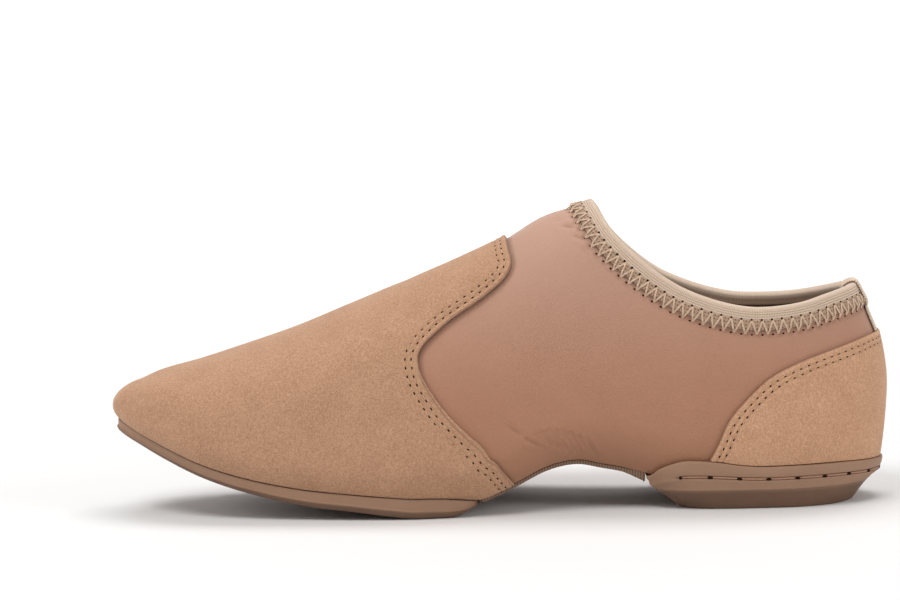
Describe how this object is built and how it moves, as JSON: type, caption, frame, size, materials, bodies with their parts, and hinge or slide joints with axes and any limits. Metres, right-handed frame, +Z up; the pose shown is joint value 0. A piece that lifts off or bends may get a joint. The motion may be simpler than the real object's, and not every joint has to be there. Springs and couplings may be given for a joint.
{
  "type": "jazz shoe",
  "caption": "Low-heeled slip-on jazz shoe for the right foot: stretch upper with suede forepart and counter, elastic collar binding, split rubber sole.",
  "frame": {"origin": "middle of the shoe's box in plan, on the floor that the shoe stands on", "axes": "+Z up, toe towards -X, heel towards +X, inner (medial) side of the foot towards -Y"},
  "size_m": [0.2568, 0.0858, 0.1005],
  "materials": {
    "stretch_cloth": "smooth matt stretch cloth with a faint sheen",
    "suede": "short-napped suede",
    "binding": "ribbed elastic",
    "strip": "thin woven tape",
    "rubber": "satin moulded rubber",
    "lining": "matt lining"
  },
  "bodies": {
    "root": {"upper": "stretch_cloth", "vamp": "suede", "heel_counter": "suede", "collar_binding": "binding", "back_seam_tape": "binding", "arch_strip": "strip", "forefoot_sole": "rubber", "heel": "rubber", "insole": "lining"}
  },
  "joints": []
}
